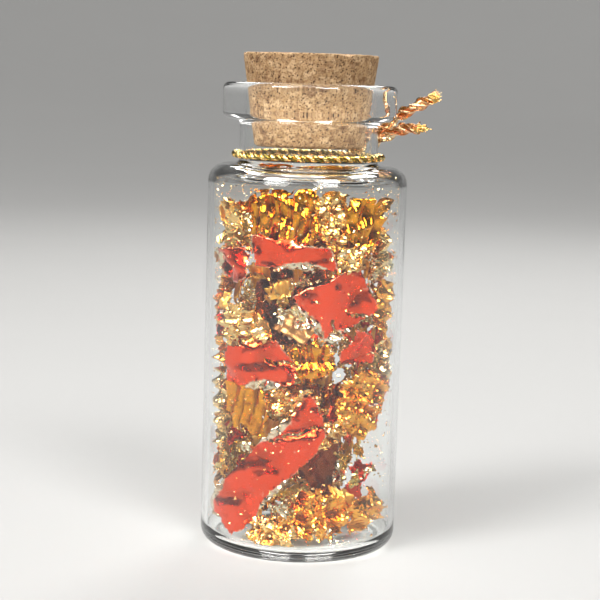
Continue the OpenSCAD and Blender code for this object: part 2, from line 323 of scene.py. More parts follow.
class PlaceCamera(bpy.types.Operator):
    """Puts the camera in front of the vial, a little above its middle"""

    bl_idname = "gold_vial.place_camera"
    bl_label = "Place Camera"

    distance = 0.2357
    height = 0.070
    side = -0.0006
    tilt_down = math.radians(7.9)
    roll = math.radians(1.75)
    sensor_width = 36              # mm
    nearest = 0.01                 # nothing closer to the camera than this is drawn

    def execute(self, context):
        camera = bpy.data.objects.new("camera", bpy.data.cameras.new("camera"))
        context.scene.collection.objects.link(camera)
        camera.data.lens = context.scene.gold_vial_stage.lens
        camera.data.sensor_width = self.sensor_width
        camera.data.clip_start = self.nearest
        camera.matrix_world = (
            Matrix.Translation((self.side, -self.distance, self.height))
            @ Matrix.Rotation(math.pi / 2 - self.tilt_down, 4, "X")
            @ Matrix.Rotation(self.roll, 4, "Z")
        )
        context.scene.camera = camera
        return {"FINISHED"}


# ---- neck cord ----

# The cord's route in mm, from the lower tail's tip
LOWER_TAIL = [
    (17.0, 5.7, 63.7), (15.6, 6.2, 63.7), (13.8, 6.8, 63.3), (11.9, 7.3, 62.4),
    (10.1, 7.6, 61.1), (8.9, 7.7, 59.9),
]
LOOP_START, LOOP_END = 53, 397     # bearings of the loop's ends, in degrees from +X
LOOP_STEP = 8
KNOT_TURN = [(8.5, 7.9, 59.5), (8.3, 8.9, 59.9), (8.9, 9.3, 61.0), (9.8, 9.1, 62.2)]
UPPER_TAIL = [
    (11.4, 9.0, 63.6), (13.6, 8.7, 65.2), (15.8, 8.2, 66.6), (17.6, 7.8, 67.6),
    (18.9, 7.5, 68.3),
]
CURVE_STEPS = 12                   # points on a smooth line for each point of its route


def cord_route():
    """The cord's middle line in metres, from the lower tail's tip round the neck to the upper's."""
    radius = (LOOP_HIGH.x - (LOOP_HIGH.z - LOOP_LOW.z) / 2) / MM
    z = (LOOP_HIGH.z + LOOP_LOW.z) / 2 / MM
    loop = []
    for bearing in range(LOOP_START, LOOP_END + 1, LOOP_STEP):
        turn = math.radians(bearing)
        loop.append((radius * math.cos(turn), radius * math.sin(turn), z))
    return np.array(LOWER_TAIL + loop + KNOT_TURN + UPPER_TAIL) * MM


def smooth_line(route, spacing, closed=False):
    """Even points along a smooth line through the route."""
    if closed:
        padded = np.vstack([route[-1], route, route[:2]])
    else:
        padded = np.vstack([2 * route[0] - route[1], route, 2 * route[-1] - route[-2]])
    fine = []
    for a, b, c, d in zip(padded, padded[1:], padded[2:], padded[3:]):
        for t in np.arange(0, 1, 1 / CURVE_STEPS):
            fine.append(0.5 * (
                2 * b + (c - a) * t + (2 * a - 5 * b + 4 * c - d) * t * t
                + (3 * b - a - 3 * c + d) * t ** 3
            ))
    fine.append(padded[-2])
    fine = np.array(fine)
    along = np.concatenate([[0], np.cumsum(np.linalg.norm(np.diff(fine, axis=0), axis=1))])
    count = max(2, round(along[-1] / spacing))
    even = np.linspace(0, along[-1], count + 1)
    return np.column_stack([np.interp(even, along, fine[:, k]) for k in range(3)]), even


def carried_frames(line):
    """Directions along a line and two across it that don't twist."""
    ahead = np.gradient(line, axis=0)
    ahead /= np.linalg.norm(ahead, axis=1, keepdims=True)
    side = np.cross(ahead[0], (0, 0, 1.0))
    side /= np.linalg.norm(side)
    sides = []
    for way in ahead:
        side = side - way * side.dot(way)
        side /= np.linalg.norm(side)
        sides.append(side)
    sides = np.array(sides)
    return ahead, sides, np.cross(ahead, sides)


def tube_faces(rings, sides, closed=False):
    """Faces of a tube made of rings of points, with caps unless it closes on itself."""
    faces = []
    for i in range(rings if closed else rings - 1):
        a, b = i * sides, ((i + 1) % rings) * sides
        for k in range(sides):
            n = (k + 1) % sides
            faces.append((a + k, a + n, b + n, b + k))
    if not closed:
        faces.append(tuple(range(sides - 1, -1, -1)))
        faces.append(tuple(range((rings - 1) * sides, rings * sides)))
    return faces


def tube(line, radii, sides, closed=False):
    """Points and faces of a round tube along a line."""
    _, across, up = carried_frames(line)
    turns = np.arange(sides) * 2 * math.pi / sides
    spokes = np.cos(turns)[None, :, None] * across[:, None] + np.sin(turns)[None, :, None] * up[:, None]
    points = (line[:, None] + radii[:, None, None] * spokes).reshape(-1, 3)
    return points, tube_faces(len(line), sides, closed)


def join(parts):
    """Points and faces of several parts as one."""
    points, faces, start = [], [], 0
    for part_points, part_faces in parts:
        points.append(part_points)
        faces += [tuple(start + k for k in face) for face in part_faces]
        start += len(part_points)
    return np.vstack(points), faces


STRAND_SHARE = 0.54                # a strand's diameter as a share of the cord's
STRAND_SIDES = 10
RIB_DEPTH = 0.09                   # of the metallic wrap, as a share of the strand's radius
LUMP_DEPTH = 0.10
FRAY = 1.8 * MM                    # length over which the ends come apart
FRAY_SPREAD = 0.5                  # how far the strands spread there
FRAY_THINNING = 0.35
LOOSE_TAIL = 13.0 * MM             # length of a tail, over which the twist loosens
LOOSE_SPREAD = 1.0                 # how far the strands spread along it
UNTWISTED = 0.75                   # share of the twist that is gone at its tip

FILAMENTS = 34                     # threads that stick out of each strand
HAIR_LEAN, HAIR_BEND = 0.22, 0.18
HAIR_START = 0.26 * MM             # how far from a strand's middle they start
HAIR_REACH = (0.5, 1.1)            # mm
HAIR_RADIUS = (0.04, 0.085)        # mm
HAIR_RINGS, HAIR_SIDES = 7, 5

FILMS = ((0.4, 0.45), (2.5, 0.2), (4.6, 0.2))  # where each film starts round a tail, and its shade, a tint towards the painted coppery-red reflection
FILM_WIDTH = 1.5 * MM              # of the metallic film that unwinds along the tails
FILM_SHARE = 0.8                   # share of the tail that it covers
FILM_OFFSET = 1.5                  # how far out it lies, as a share of the strands' helix
FILM_LAY = 9 * MM                  # length in which it goes once round
FILM_TUMBLE = 1.6                  # turns of its own for each of those
FILM_BOW = 0.10 * MM
FILM_CRINKLE, CRINKLE_SPACING = 0.06 * MM, 0.7 * MM
FILM_HALF = 0.02 * MM              # half its thickness
FILM_SECTION = ((-0.5, -1), (0, -1), (0.5, -1), (0.5, 1), (0, 1), (-0.5, 1))


def film_ribbon(line, along, offset, phase):
    """A flat ribbon of unwound film beside a tail."""
    ahead, across, up = carried_frames(line)
    turn = phase + 2 * math.pi * along / FILM_LAY
    centre = line + offset * (np.cos(turn)[:, None] * across + np.sin(turn)[:, None] * up)
    face_turn = turn * FILM_TUMBLE + 0.8
    face = np.cos(face_turn)[:, None] * across + np.sin(face_turn)[:, None] * up
    thin = np.cross(ahead, face)
    crinkle = FILM_CRINKLE * ridge(along / CRINKLE_SPACING)[:, None] * thin
    points = []
    for sideways, thick in FILM_SECTION:
        lift = thick * FILM_HALF + FILM_BOW * (1 - abs(sideways) * 2)
        points.append(centre + crinkle + face * sideways * FILM_WIDTH + thin * lift)
    points = np.stack(points, axis=1).reshape(-1, 3)
    return points, tube_faces(len(line), len(FILM_SECTION))


def hair(tip, way, rng):
    """One stray thread at a strand's tip."""
    lean = way + rng.normal(0, HAIR_LEAN, 3)
    bend = rng.normal(0, HAIR_BEND, 3)
    reach = rng.uniform(*HAIR_REACH) * MM
    steps = np.linspace(-0.6, 1, HAIR_RINGS)[:, None]
    line = tip + rng.normal(0, HAIR_START, 3) + reach * (lean * steps + bend * steps ** 2)
    return tube(line, np.full(HAIR_RINGS, rng.uniform(*HAIR_RADIUS) * MM), HAIR_SIDES)


def frayed_ends(line, along, tips, offset):
    """The stray threads and the unwound film of both ends, and their shades."""
    rng = np.random.default_rng(11)
    parts = [hair(tip, way, rng) for tip, way in tips for _ in range(FILAMENTS)]
    shades = [np.zeros(len(points)) for points, _ in parts]
    tail = round(LOOSE_TAIL * FILM_SHARE / (along[1] - along[0]))
    for phase, shade in FILMS:
        for end in (slice(0, tail, 3), slice(-tail, None, 3)):
            parts.append(film_ribbon(line[end], along[end], offset, phase))
            shades.append(np.full(len(parts[-1][0]), shade))
    return parts, shades


def twisted_strands(line, along, cord, frayed):
    """The twisted strands of a cord along a line, and the shades: 0 gold, 0.5 painted coppery-red
    reflection, 1 green.
    """
    strand_r = cord.diameter * STRAND_SHARE / 2
    helix_r = cord.diameter / 2 - strand_r
    ahead, across, up = carried_frames(line)
    from_end = np.minimum(along, along[-1] - along)
    opening = np.clip(1 - from_end / FRAY, 0, 1) if frayed else np.zeros(len(line))
    loose = np.clip(1 - from_end / LOOSE_TAIL, 0, 1) if frayed else np.zeros(len(line))
    reach = helix_r * (1 + LOOSE_SPREAD * loose + FRAY_SPREAD * opening ** 1.5)
    twist = np.concatenate([[0], np.cumsum(np.diff(along) * (1 - UNTWISTED * loose[1:]))]) / cord.lay
    parts, shades, tips = [], [], []
    for k in range(cord.strands):
        turn = 2 * math.pi * (twist + k / cord.strands)
        centre = line + reach[:, None] * (np.cos(turn)[:, None] * across + np.sin(turn)[:, None] * up)
        ribs = 1 + RIB_DEPTH * np.sin(2 * math.pi * along / cord.rib + k)
        lumps = 1 + LUMP_DEPTH * np.sin(2 * math.pi * along / (cord.lay * 0.5) + 2 * k)
        radii = strand_r * ribs * lumps * (1 - FRAY_THINNING * opening)
        parts.append(tube(centre, radii, STRAND_SIDES, not frayed))
        # the tails' strands are tinted towards the painted coppery-red reflection
        shades.append(np.where(loose > 0, 0.1 + 0.3 * loose, k % 2).repeat(STRAND_SIDES))
        tips += [(centre[0], -ahead[0]), (centre[-1], ahead[-1])]
    if frayed:
        end_parts, end_shades = frayed_ends(line, along, tips, helix_r * FILM_OFFSET)
        parts += end_parts
        shades += end_shades
    return parts, np.concatenate(shades)


def cord_finish(cord):
    """Metallic wrap: gold and green, with painted coppery-red reflections, painted pale glints and fine
    ribs.
    """
    finish = Finish("gold_cord_wrap")
    # the wrap's mottle: gold and green, with painted coppery-red reflections
    shade = finish.ramp(
        finish.grain(0.8 * MM, 2), (0.32, cord.copper_reflection), (0.43, cord.gold),
        (0.53, cord.gold), (0.60, cord.green), (0.68, cord.gold),
    )
    # painted glints: small cells lightened towards a pale gold
    painted_glint = finish.between(finish.cells(0.3 * MM), 0.25, 0.75, 0.0, 0.8)
    lit = finish.mix(painted_glint, shade, (1.0, 0.80, 0.38))
    strand = finish.stored("strand")
    toned = finish.ramp(strand, (0.0, (1, 1, 1)), (0.5, cord.copper_reflection), (1.0, cord.green))
    share = finish.between(strand, 0.0, 0.5, 0.0, 0.78)
    finish.feed("Base Color", finish.mix(share, lit, toned))
    finish.feed("Roughness", finish.between(finish.grain(0.3 * MM), 0.3, 0.7, 0.10, 0.28))
    finish.set(Metallic=1.0)
    finish.bump(finish.cells(0.16 * MM), 0.35, 0.05 * MM)
    return finish.material


class TwistNeckCord(bpy.types.Operator):
    """Twists the cord's strands, lays them round the neck and ties the knot"""

    bl_idname = "gold_vial.twist_neck_cord"
    bl_label = "Twist Neck Cord"

    knot_scale = 0.43 * MM
    knot_stretch = (1.05, 0.9, 1.1)  # round the neck, up and out from it
    knot_bearing = math.radians(46)
    knot_points = 40
    point_spacing = 0.085 * MM
    measured_spacing = 0.5 * MM

    def knot_line(self):
        """Closed line of the knot, flat against the neck."""
        middle = (KNOT_LOW + KNOT_HIGH) / 2
        turns = np.linspace(0, 2 * math.pi, self.knot_points, endpoint=False)
        wide = np.sin(turns) + 2 * np.sin(2 * turns)
        high = np.cos(turns) - 2 * np.cos(2 * turns)
        deep = -np.sin(3 * turns)
        out = np.array((math.cos(self.knot_bearing), math.sin(self.knot_bearing), 0))
        across = np.array((-out[1], out[0], 0))
        stretch_across, stretch_up, stretch_out = self.knot_stretch
        route = np.array(middle) + self.knot_scale * (
            wide[:, None] * across * stretch_across
            + high[:, None] * np.array((0, 0, stretch_up))
            + deep[:, None] * out * stretch_out
        )
        return smooth_line(route, self.point_spacing, closed=True)

    def add_piece(self, name, line, along, cord, frayed, material):
        """Adds a twisted piece of cord, which turns with the loop."""
        parts, shades = twisted_strands(line, along, cord, frayed)
        made = new_object(name, *join(parts), material)
        add_attribute(made, "strand", shades)
        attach(made, "neck_cord")
        return made

    def execute(self, context):
        cord = context.scene.gold_vial_cord
        material = cord_finish(cord)
        route = cord_route()
        line, along = smooth_line(route, self.point_spacing)
        made = self.add_piece("neck_cord", line, along, cord, True, material)
        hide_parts("cord_loop", "cord_tail_upper", "cord_tail_lower")
        knot = self.add_piece("neck_cord_knot", *self.knot_line(), cord, False, material)
        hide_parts("cord_knot")
        measured, _ = smooth_line(route, self.measured_spacing)
        return {"FINISHED"}


# ---- glass ----


def glass_outline(glass):
    """Outline of the glass, from the middle of the base round the outside to the inner floor."""
    body_r = glass.body_diameter / 2
    inner_r = body_r - glass.wall
    neck_r = glass.neck_diameter / 2
    rim_r = glass.rim_diameter / 2
    mouth_r = glass.mouth_diameter / 2
    top = glass.height
    rim_z = top - glass.rim_height
    contact_r = body_r - glass.heel
    punt_r = contact_r - 0.8 * MM
    shoulder_r = 2.6 * MM
    inner_shoulder_r = 2.0 * MM
    inner_shoulder_z = glass.shoulder_height - 1.0 * MM
    fillet = 0.8 * MM
    heel = 1.6 * MM
    rim_top = 0.9 * MM
    rim_under = 1.2 * MM
    bulge = (punt_r ** 2 + glass.punt ** 2) / (2 * glass.punt)
    outside = [
        (r, glass.punt - bulge + math.sqrt(bulge ** 2 - r * r))
        for r in np.linspace(0, punt_r, 12)
    ]
    outside += arc(contact_r, glass.heel, glass.heel, -90, 0, 12)
    outside += arc(body_r - shoulder_r, glass.shoulder_height - shoulder_r, shoulder_r, 0, 90, 14)
    outside += arc(neck_r + fillet, glass.shoulder_height + fillet, fillet, 270, 180, 8)
    outside += arc(neck_r + fillet, rim_z - fillet, fillet, 180, 90, 8)
    outside += arc(rim_r - rim_under, rim_z + rim_under, rim_under, -90, 0, 10)
    outside += arc(rim_r - rim_top, top - rim_top, rim_top, 0, 90, 10)
    inside = arc(mouth_r + fillet, top - fillet, fillet, 90, 180, 8)
    inside += arc(mouth_r + fillet, inner_shoulder_z + fillet, fillet, 180, 270, 8)
    inside += arc(
        inner_r - inner_shoulder_r, inner_shoulder_z - inner_shoulder_r, inner_shoulder_r, 90, 0, 12,
    )
    inside += arc(inner_r - heel, glass.base + heel, heel, 0, -90, 12)
    inside += [(r, glass.base) for r in np.linspace(inner_r - heel, 0, 10)[1:]]
    longest = 1.2 * MM
    return with_steps(outside, longest), with_steps(inside, longest)


def glass_finish(glass):
    """Clear glass that lets light through to what is in it."""
    finish = Finish("clear_glass")
    finish.set(
        Base_Color=(*glass.tint, 1), Roughness=0.0, IOR=1.49, Transmission_Weight=1.0,
        Specular_IOR_Level=0.5,
    )
    finish.bump(finish.grain(6.0 * MM, 1), 0.10, 0.05 * MM)
    clear = finish.node("ShaderNodeBsdfTransparent", Color=(0.96, 0.97, 0.965, 1))
    rays = finish.node("ShaderNodeLightPath")
    mixed = finish.node("ShaderNodeMixShader")
    finish.link(rays.outputs["Is Shadow Ray"], mixed.inputs[0])
    finish.link(finish.shader.outputs[0], mixed.inputs[1])
    finish.link(clear.outputs[0], mixed.inputs[2])
    finish.link(mixed.outputs[0], finish.tree.nodes["Material Output"].inputs["Surface"])
    return finish.material


class BlowGlass(bpy.types.Operator):
    """Makes the vial's glass: body, shoulder, neck, rim and the dimple under its base"""

    bl_idname = "gold_vial.blow_glass"
    bl_label = "Blow Glass"

    sides = 224
    wave = 7 * MM                  # length of the wobbles, and twice this up the wall

    def wobble(self, points, glass):
        """Lets the inside wall below the neck wander a little from a true round."""
        bore_r = glass.mouth_diameter / 2 + 0.3 * MM
        neck_z = glass.shoulder_height - 2 * MM
        for i, (x, y, z) in enumerate(points):
            r = math.hypot(x, y)
            if r > bore_r and z < neck_z:
                sway = noise.noise(Vector((x, y, z * 0.5)) / self.wave)
                grow = 1 + (sway - 0.4) * glass.wobble / r
                points[i] = (x * grow, y * grow, z)

    def execute(self, context):
        glass = context.scene.gold_vial_glass
        outside, inside = glass_outline(glass)
        points, faces = lathe(outside + inside, self.sides)
        first_inside = (len(outside) - 1) * self.sides
        self.wobble(points[first_inside:-2], glass)
        made = new_object("glass_vial", points, faces, glass_finish(glass))
        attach(made, "vial")
        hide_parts("vial_glass")
        return {"FINISHED"}


# ---- cork ----


def cork_outline():
    """Outline of the cork from the middle of its bottom to the middle of its top."""
    low_r = 8.2 * MM
    high_r = CORK_HIGH.x
    low_z, high_z = CORK_LOW.z, CORK_HIGH.z
    bevel = 0.3 * MM
    round_r = 0.16 * MM
    side = (high_r - low_r) / (high_z - low_z)
    outline = [
        (0, low_z), (low_r - bevel, low_z), (low_r, low_z + bevel),
        (high_r - side * round_r, high_z - round_r), (high_r - 0.06 * MM, high_z - 0.05 * MM),
        (high_r - round_r, high_z), (0, high_z),
    ]
    return with_steps(outline, 0.21 * MM)


def cork_finish(cork):
    """Pressed cork granules of several browns with bark specks, and painted shade in the pits and the
    grooves between granules.
    """
    finish = Finish("pressed_cork")
    base = finish.ramp(
        finish.stored("granule"),
        (0.05, cork.brown), (0.30, cork.tan), (0.62, cork.tan), (0.95, cork.pale),
    )
    mottle = finish.between(finish.grain(0.55 * MM, 5, 0.65), 0.42, 0.72, 0, 0.65)
    streak = finish.between(finish.grain(0.24 * MM, 3, 0.6), 0.50, 0.64, 0, 0.85)
    speck = finish.between(finish.cells(0.50 * MM), 0.30, 0.17, 0, 1)
    streaked = finish.mix(streak, finish.mix(mottle, base, cork.pale), cork.brown)
    specked = finish.mix(speck, streaked, cork.bark)
    # painted shade: pits and grooves darkened to the bark colour
    finish.feed("Base Color", finish.mix(finish.stored("pit"), specked, cork.bark))
    finish.set(Roughness=0.88, Specular_IOR_Level=0.25)
    finish.bump(finish.grain(0.25 * MM, 4, 0.6), 0.7, 0.12 * MM)
    return finish.material


class CutCork(bpy.types.Operator):
    """Makes the tapered cork with its granules, pits and worn top edge"""

    bl_idname = "gold_vial.cut_cork"
    bl_label = "Cut Cork"

    sides = 300
    pitted_share = 0.24            # share of the small granules that have fallen out
    groove_width = 0.16            # between two granules, as a share of one
    groove_depth = 0.22            # as a share of a pit's
    top_skin = 0.05 * MM           # points above this count as the top face

    def surface(self, place, cork):
        """Shade of the granule at a place, and how much of a groove and of a pit is there."""
        spot = place / cork.granule
        distances, centres = noise.voronoi(spot + noise.noise_vector(spot * 1.7) * 0.22)
        shade = abs(noise.cell(centres[0] * 7.3 + Vector((3.1, 5.7, 1.3)))) % 1
        groove = max(0.0, 1 - (distances[1] - distances[0]) / self.groove_width)
        small = noise.voronoi(spot * 2.3)
        hole = abs(noise.cell(small[1][0] * 5.1)) % 1 < self.pitted_share
        pit = max(0.0, 1 - small[0][0] / 0.42) if hole else 0.0
        return shade, groove, pit

    def wear(self, place, from_top, from_side):
        """How far a place near the top edge is worn, and how near the edge it is."""
        near_top = max(0.0, 1 - from_top / (0.9 * MM))
        near_side = max(0.0, 1 - from_side / (1.2 * MM))
        near_edge = max(0.0, 1 - math.hypot(from_top, from_side) / (0.55 * MM))
        return near_top * near_side * max(0.0, noise.noise(place / (2.2 * MM)) + 0.25), near_edge

    def execute(self, context):
        cork = context.scene.gold_vial_cork
        points, faces = lathe(cork_outline(), self.sides)
        granules, pits = [], []
        for i, point in enumerate(points):
            place = Vector(point)
            outward = Vector((place.x, place.y, 0))
            way = outward.normalized()
            from_top = CORK_HIGH.z - point[2]
            shade, groove, pit = self.surface(place, cork)
            worn, near_edge = self.wear(place, from_top, CORK_HIGH.x - outward.length)
            depth = self.groove_depth * groove * cork.pit_depth + pit * cork.pit_depth
            on_top = point[2] > CORK_HIGH.z - self.top_skin
            move = Vector((0, 0, -depth)) if on_top else -way * depth
            move += Vector((0, 0, -1)) * worn * cork.chip - way * worn * cork.chip * 0.6
            points[i] = point + np.array(move)
            # granules are drawn paler within 0.55 mm of the top edge
            granules.append(max(shade, 1.1 * near_edge))
            # how much painted shade the pits and grooves get
            pits.append(min(1.0, 0.35 * groove + pit * 1.3))
        made = new_object("cork", points, faces, cork_finish(cork))
        add_attribute(made, "granule", granules)
        add_attribute(made, "pit", pits)
        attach(made, "stopper")
        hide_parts("cork_stopper")
        return {"FINISHED"}


# ---- gold leaf ----

LEAF_REACH = 13.98 * MM            # just inside the glass
LEAF_FLOOR = 1.68 * MM
GROWN = 1.14                       # a torn piece's width over the CAD leaf's
SHEET_GROWN = 1.10                 # the same of a smooth sheet
STRIP_GROWN = 1.24                 # the same of the long strip
LONG_STRIP = "leaf_strip_long"
SHEETS = {
    "leaf_strip_upper", "leaf_sheet_upper_left", "leaf_sheet_right", "leaf_sheet_mid_left",
    LONG_STRIP, "leaf_sheet_dark", "leaf_sheet_right_mid", "leaf_back_upper",
    "leaf_back_mid_right", "leaf_back_low_left", "leaf_side_right",
}
ROLLED = {"leaf_curl_top_right", "leaf_hook"}
SOFT_KINDS = {"leaf_amber", "leaf_bronze", "leaf_gold_sheet"}
LEAF_KINDS = {part["node"]: part["material_slot"] for part in frame["record"]["subparts"]}

# For each kind of leaf, its creases: spacing in mm, steepness, how many ways, all one way or not
CREASES = {
    "leaf_pale": [
        (3.0, 0.60, 2, False), (1.5, 0.70, 2, False), (0.75, 0.50, 2, False), (0.45, 0.35, 1, False),
    ],
    "leaf_gold": [
        (3.4, 0.65, 2, False), (1.5, 0.75, 2, False), (0.75, 0.50, 1, False), (0.45, 0.25, 1, False),
    ],
    "leaf_amber": [(4.0, 0.35, 2, False), (1.5, 0.75, 1, True), (0.8, 0.45, 1, True)],
    "leaf_bronze": [(3.0, 0.75, 2, True), (1.6, 0.30, 1, False)],
    "sheet": [(7.0, 0.24, 2, False), (3.2, 0.16, 2, False), (1.4, 0.08, 2, False)],
    "border": [(1.4, 0.70, 2, False), (0.8, 0.50, 2, False)],
}

EDGE_LAYERS = 10                   # how far in from its edge a sheet is measured, in grid steps
BORDER = 5.0                       # width of the border that curls, in grid steps
JITTER = 0.34                      # how far a point strays from its place in the grid
SLIT_HALF = 0.14 * MM
SLIT_STARTS = (1.2, 3.2)           # mm from a sheet's middle
CURL = 0.5 * MM                    # how far the border curls
HEM, HEM_SPREAD, HEM_FADE = 0.8, 6, 1.5  # a smooth sheet's rough hem, in grid steps
ROLL_EDGE = 0.38 * MM              # longest edge on a rolled strip
ROLL_ROUGH = 0.22 * MM
LEAF_DULL = 0.17                   # roughness of the dullest leaf


def sines(u, v, size_u, size_v, rng):
    """A pattern of rounded bumps of these sizes in mm."""
    across = np.sin(u / (size_u * MM) + rng.uniform(0, 6))
    return across * np.sin(v / (size_v * MM) + rng.uniform(0, 6))


def creased(u, v, waves, rng, main):
    """Height of a crumpled sheet at u, v in metres. Aligned creases run across the main direction."""
    height = np.zeros_like(u)
    sway_u = 0.5 * MM * np.sin(v / (1.9 * MM) + rng.uniform(0, 6)) + 0.2 * MM * np.sin(u / (0.7 * MM))
    sway_v = 0.5 * MM * np.sin(u / (2.3 * MM) + rng.uniform(0, 6)) + 0.2 * MM * np.sin(v / (0.8 * MM))
    for spacing, steepness, ways, aligned in waves:
        for _ in range(ways):
            turn = main + rng.normal(0, 0.16) if aligned else rng.uniform(0, math.pi)
            wave = spacing * MM * rng.uniform(0.75, 1.35)
            travel = ((u + sway_u) * math.cos(turn) + (v + sway_v) * math.sin(turn)) / wave
            height += steepness * wave / 4 / math.sqrt(ways) * ridge(travel + rng.uniform())
    return height


def crease_shading(rise, share=1.0):
    """How deep each point lies in a crease, from 0 on a flat or a crest: how strong the painted shade
    there is.
    """
    return share * np.clip(-rise / (rise.std() + 1e-9), 0, 2)


def grid_faces(kept, with_corners=False):
    """Triangles between the kept points of a grid. With corners, also where only three are kept."""
    index = np.full(kept.shape, -1)
    index[kept] = np.arange(kept.sum())
    faces = []
    for i in range(kept.shape[0] - 1):
        for j in range(kept.shape[1] - 1):
            a, b, c, d = index[i, j], index[i + 1, j], index[i + 1, j + 1], index[i, j + 1]
            corners = [k for k in (a, b, c, d) if k >= 0]
            if len(corners) == 4:
                faces += [(a, b, c), (a, c, d)] if (i * 7 + j * 3) % 2 else [(a, b, d), (b, c, d)]
            elif with_corners and len(corners) == 3:
                faces.append(tuple(corners))
    return faces


def thicken(made, thickness):
    """Gives a sheet its thickness, half to each side."""
    body = made.modifiers.new("leaf thickness", "SOLIDIFY")
    body.thickness = thickness
    body.offset = 0


def leaf_axes(points, triangles):
    """A leaf's middle, its two directions along the sheet and the one out of it."""
    corners = points[triangles]
    sides = np.cross(corners[:, 1] - corners[:, 0], corners[:, 2] - corners[:, 0])
    areas = np.linalg.norm(sides, axis=1)
    centres = corners.mean(axis=1)
    middle = (centres * areas[:, None]).sum(0) / areas.sum()
    spread = (centres - middle) * np.sqrt(areas)[:, None]
    _, ways = np.linalg.eigh(spread.T @ spread)
    out, along = ways[:, 0], ways[:, 2]
    if out.dot((middle[0], middle[1], 0)) < 0:
        out = -out
    return middle, along, np.cross(out, along), out


def shrink(mask):
    """A mask without its outermost layer of cells."""
    padded = np.pad(mask, 1)
    rows, columns = mask.shape
    kept = mask
    for i in range(3):
        for j in range(3):
            kept = kept & padded[i:i + rows, j:j + columns]
    return kept


def spread_out(values, known):
    """Fills the unknown cells of a grid from their known neighbours."""
    values = np.where(known, values, 0.0)
    while not known.all():
        total, count = np.zeros(known.shape), np.zeros(known.shape)
        padded, there = np.pad(values, 1), np.pad(known.astype(float), 1)
        for i, j in ((0, 1), (2, 1), (1, 0), (1, 2)):
            part = (slice(i, i + known.shape[0]), slice(j, j + known.shape[1]))
            total += padded[part]
            count += there[part]
        reached = ~known & (count > 0)
        values[reached] = total[reached] / count[reached]
        known = known | reached
    return values


def cut_outline(u, v, inside, rng):
    """A piece with four straight edges, a little askew, round a leaf's own outline."""
    slim = np.ptp(v[inside]) / np.ptp(u[inside])
    cut = np.ones(u.shape, bool)
    for turn, askew in ((0, 0.40), (90, 0.22 * slim), (180, 0.40), (270, 0.22 * slim)):
        way = math.radians(turn) + rng.uniform(-askew, askew)
        travel = u * math.cos(way) + v * math.sin(way)
        cut &= travel <= travel[inside].max() * 0.97
    corner = math.radians(rng.choice((45, 135, 225, 315)))
    travel = u * math.cos(corner) / np.ptp(u[inside]) + v * math.sin(corner) / np.ptp(v[inside])
    return cut & (travel <= travel[cut].max() * rng.uniform(0.86, 0.97))


class LeafGrid:
    """A CAD leaf's own shape, measured on a grid of points across it."""

    far = 8 * MM

    def __init__(self, name, spacing):
        mesh = frame["nodes"][name].data
        mesh.calc_loop_triangles()
        points = np.array([v.co for v in mesh.vertices])
        triangles = np.array([t.vertices for t in mesh.loop_triangles])
        self.middle, self.along, self.across, self.out = leaf_axes(points, triangles)
        self.tree = BVHTree.FromPolygons([tuple(p) for p in points], triangles.tolist())
        self.grown = GROWN
        if name in SHEETS:
            self.grown = STRIP_GROWN if name == LONG_STRIP else SHEET_GROWN
        local = points - self.middle
        us, vs = (
            np.arange(span.min() * self.grown, span.max() * self.grown + spacing, spacing)
            for span in (local @ self.along, local @ self.across)
        )
        self.u, self.v = np.meshgrid(us, vs, indexing="ij")
        self.length = us[-1] - us[0]
        height = np.array([[self.measured(u, v) for v in vs] for u in us])
        self.inside = ~np.isnan(height)
        self.height = spread_out(height, self.inside)
        self.slope_u, self.slope_v = np.gradient(self.height, spacing)

    def measured(self, u, v):
        """Height of the leaf's mid surface at u, v, or nan beside the leaf."""
        spot = self.middle + self.along * u / self.grown + self.across * v / self.grown
        top = self.tree.ray_cast(Vector(spot + self.out * self.far), Vector(-self.out))[0]
        low = self.tree.ray_cast(Vector(spot - self.out * self.far), Vector(self.out))[0]
        if not top or not low:
            return np.nan
        return (np.array(top) + np.array(low) - 2 * self.middle).dot(self.out) / 2

    def level(self):
        """Direction in the grid of the leaf's level line."""
        level = np.cross((0, 0, 1.0), self.out)
        return math.atan2(level.dot(self.across), level.dot(self.along))

    def placed(self, u, v, height):
        """Places in the vial of grid points."""
        return (
            self.middle + u[..., None] * self.along + v[..., None] * self.across
            + height[..., None] * self.out
        )


def torn(grid, inside, depth, deepest, rng):
    """What is left of a sheet once its edge is torn and slits run into it."""
    tear = (
        sines(grid.u, grid.v, 0.9, 0.8, rng)
        + 0.8 * np.sin(grid.u / (0.31 * MM) + grid.v / (0.37 * MM) + rng.uniform(0, 6))
        + rng.uniform(-0.5, 0.5, inside.shape)
    )
    kept = inside & (depth >= np.clip(np.round(tear), 0, deepest))
    for _ in range(rng.integers(1, 4)):
        turn, place = rng.uniform(0, math.pi), rng.uniform(-0.25, 0.25) * grid.length
        off = grid.u * math.cos(turn) + grid.v * math.sin(turn) - place
        run = -grid.u * math.sin(turn) + grid.v * math.cos(turn)
        slit = np.abs(off + 0.2 * MM * np.sin(run / (0.6 * MM))) < SLIT_HALF
        kept &= ~(slit & (run > rng.uniform(*SLIT_STARTS) * MM))
    return kept


